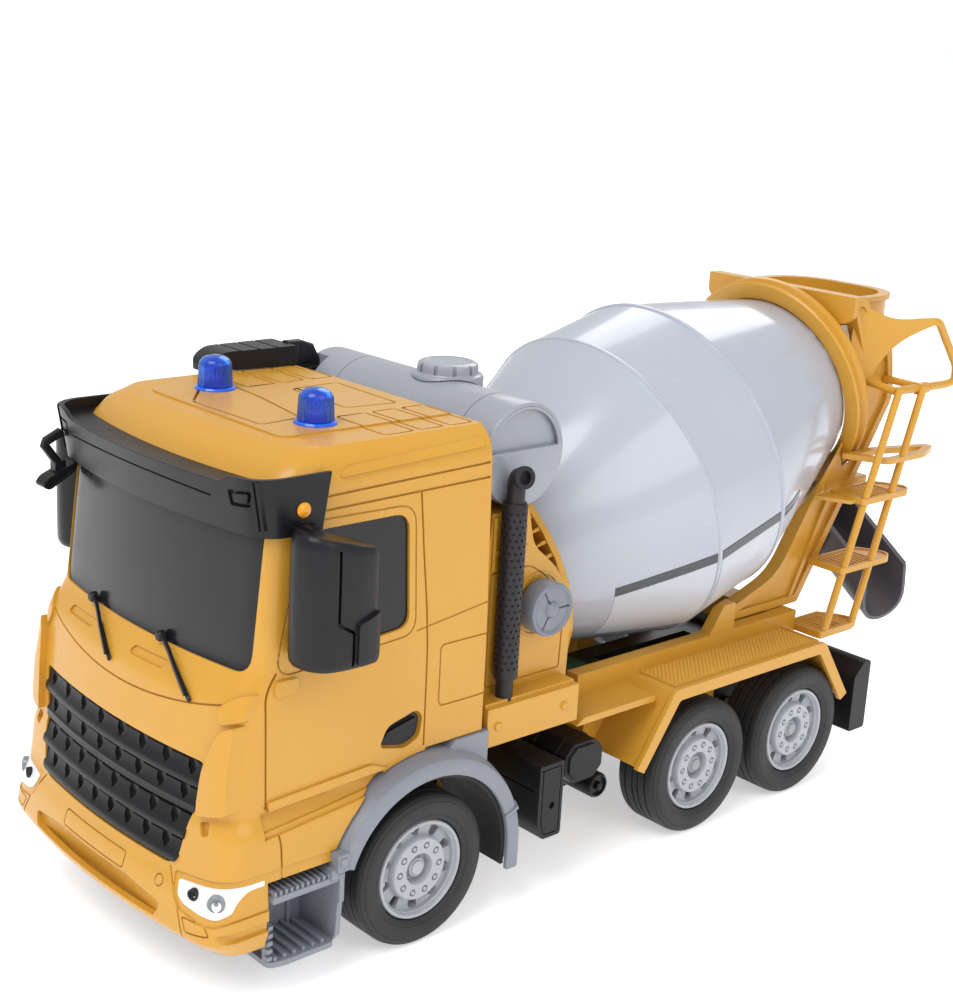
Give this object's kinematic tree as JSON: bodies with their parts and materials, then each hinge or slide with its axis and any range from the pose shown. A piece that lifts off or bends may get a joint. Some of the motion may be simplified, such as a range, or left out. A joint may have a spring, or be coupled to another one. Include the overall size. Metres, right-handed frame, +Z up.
{
  "type": "toy cement mixer",
  "caption": "Toy cement mixer truck with a steered front axle, driven rear wheels, a turning drum, a loading hopper with ladder, and a swinging discharge chute.",
  "frame": {"origin": "on the ground, midway along and across the truck's outer box", "axes": "+Z up, -Y is the front of the truck, +X is its left side"},
  "size_m": [0.1376, 0.3336, 0.172],
  "materials": {
    "yellow_plastic": "satin moulded plastic, warm yellow-orange",
    "grey_plastic": "satin moulded plastic, cool mid grey",
    "drum_plastic": "glossy moulded plastic, light silvery grey",
    "rim_plastic": "silver-grey moulded plastic",
    "black_plastic": "satin black moulded plastic",
    "tyre": "soft matte dark grey tyre compound",
    "dark_glass": "opaque dark smoked window panel",
    "blue_lens": "clear blue beacon dome",
    "clear_lens": "clear lamp lens over a bright reflector",
    "steel": "plain bright steel",
    "nylon": "natural nylon",
    "board": "green circuit board",
    "cell_wrap": "shrink-wrapped cells"
  },
  "bodies": {
    "truck_body": {"chassis_frame": "black_plastic", "battery_pack": "cell_wrap", "battery_cover": "black_plastic", "steering_servo": "black_plastic", "circuit_board": "board", "gearbox_housing": "grey_plastic", "drive_motor": "steel", "front_axle_beam": "black_plastic", "cab_shell": "yellow_plastic", "windshield": "dark_glass", "side_window_left": "dark_glass", "side_window_right": "dark_glass", "grille": "black_plastic", "headlight_left": "clear_lens", "headlight_right": "clear_lens", "sun_visor": "black_plastic", "wiper_left": "black_plastic", "wiper_right": "black_plastic", "door_mirror_left": "black_plastic", "door_mirror_right": "black_plastic", "kerb_mirror": "black_plastic", "beacon_left": "blue_lens", "beacon_right": "blue_lens", "air_intake": "black_plastic", "exhaust_stack": "black_plastic", "cab_fender_left": "grey_plastic", "cab_fender_right": "grey_plastic", "drive_housing": "yellow_plastic", "water_tank": "grey_plastic", "tank_cap": "grey_plastic", "support_ring": "yellow_plastic", "rear_deck": "yellow_plastic", "hopper_frame": "yellow_plastic", "ladder": "yellow_plastic", "side_tank": "black_plastic", "rear_bumper": "black_plastic"},
    "knuckle_left": {"steering_knuckle_left": "nylon"},
    "knuckle_right": {"steering_knuckle_right": "nylon"},
    "steering_link": {"tie_rod": "black_plastic"},
    "front_wheel_left": {"tyre_front_left": "tyre", "rim_front_left": "rim_plastic"},
    "front_wheel_right": {"tyre_front_right": "tyre", "rim_front_right": "rim_plastic"},
    "mid_wheels": {"mid_axle": "steel", "tyre_mid_left": "tyre", "rim_mid_left": "rim_plastic", "tyre_mid_right": "tyre", "rim_mid_right": "rim_plastic"},
    "rear_wheels": {"rear_axle": "steel", "drive_gear": "nylon", "tyre_rear_left": "tyre", "rim_rear_left": "rim_plastic", "tyre_rear_right": "tyre", "rim_rear_right": "rim_plastic"},
    "pinion": {"motor_pinion": "nylon"},
    "drum": {"drum_shell": "drum_plastic", "crown_gear": "yellow_plastic"},
    "knob": {"drum_knob": "grey_plastic"},
    "discharge_chute": {"chute": "grey_plastic"},
    "switch": {"power_switch": "nylon"}
  },
  "joints": [
    {"name": "steer_left", "type": "hinge", "parent": "truck_body", "child": "knuckle_left", "pos_m": [0.038, -0.091, 0.023], "axis": [0, 0, 1], "range_deg": [-20, 20]},
    {"name": "steer_right", "type": "hinge", "parent": "truck_body", "child": "knuckle_right", "pos_m": [-0.038, -0.091, 0.023], "axis": [0, 0, 1], "range_deg": [-20, 20]},
    {"name": "tie_rod_slide", "type": "slide", "parent": "truck_body", "child": "steering_link", "axis": [1, 0, 0], "range_m": [-0.0046, 0.0046]},
    {"name": "spin_front_left", "type": "hinge", "parent": "knuckle_left", "child": "front_wheel_left", "pos_m": [0.0471, -0.091, 0.023], "axis": [1, 0, 0], "continuous": true},
    {"name": "spin_front_right", "type": "hinge", "parent": "knuckle_right", "child": "front_wheel_right", "pos_m": [-0.0471, -0.091, 0.023], "axis": [1, 0, 0], "continuous": true},
    {"name": "spin_mid", "type": "hinge", "parent": "truck_body", "child": "mid_wheels", "pos_m": [0, 0.0283, 0.023], "axis": [1, 0, 0], "continuous": true},
    {"name": "spin_rear", "type": "hinge", "parent": "truck_body", "child": "rear_wheels", "pos_m": [0, 0.0791, 0.023], "axis": [1, 0, 0], "continuous": true},
    {"name": "spin_pinion", "type": "hinge", "parent": "truck_body", "child": "pinion", "pos_m": [0, 0.0631, 0.023], "axis": [1, 0, 0], "continuous": true},
    {"name": "spin_drum", "type": "hinge", "parent": "truck_body", "child": "drum", "pos_m": [0, 0.02793, 0.10563], "axis": [0, 0.9568, 0.2907], "continuous": true},
    {"name": "spin_knob", "type": "hinge", "parent": "truck_body", "child": "knob", "pos_m": [0.045, -0.0415, 0.0905], "axis": [1, 0, 0], "continuous": true},
    {"name": "swing_chute", "type": "hinge", "parent": "truck_body", "child": "discharge_chute", "pos_m": [0, 0.153, 0.0995], "axis": [0, 0, 1], "range_deg": [0, 204]},
    {"name": "slide_switch", "type": "slide", "parent": "truck_body", "child": "switch", "axis": [0, 1, 0], "range_m": [0, 0.003]}
  ],
  "couplings": [
    {"joint": "steer_right", "follows": "steer_left", "ratio": 1},
    {"joint": "tie_rod_slide", "follows": "steer_left", "m_per_rad": -0.013},
    {"joint": "spin_pinion", "follows": "spin_rear", "ratio": -3},
    {"joint": "spin_knob", "follows": "spin_drum", "ratio": -3.75}
  ]
}
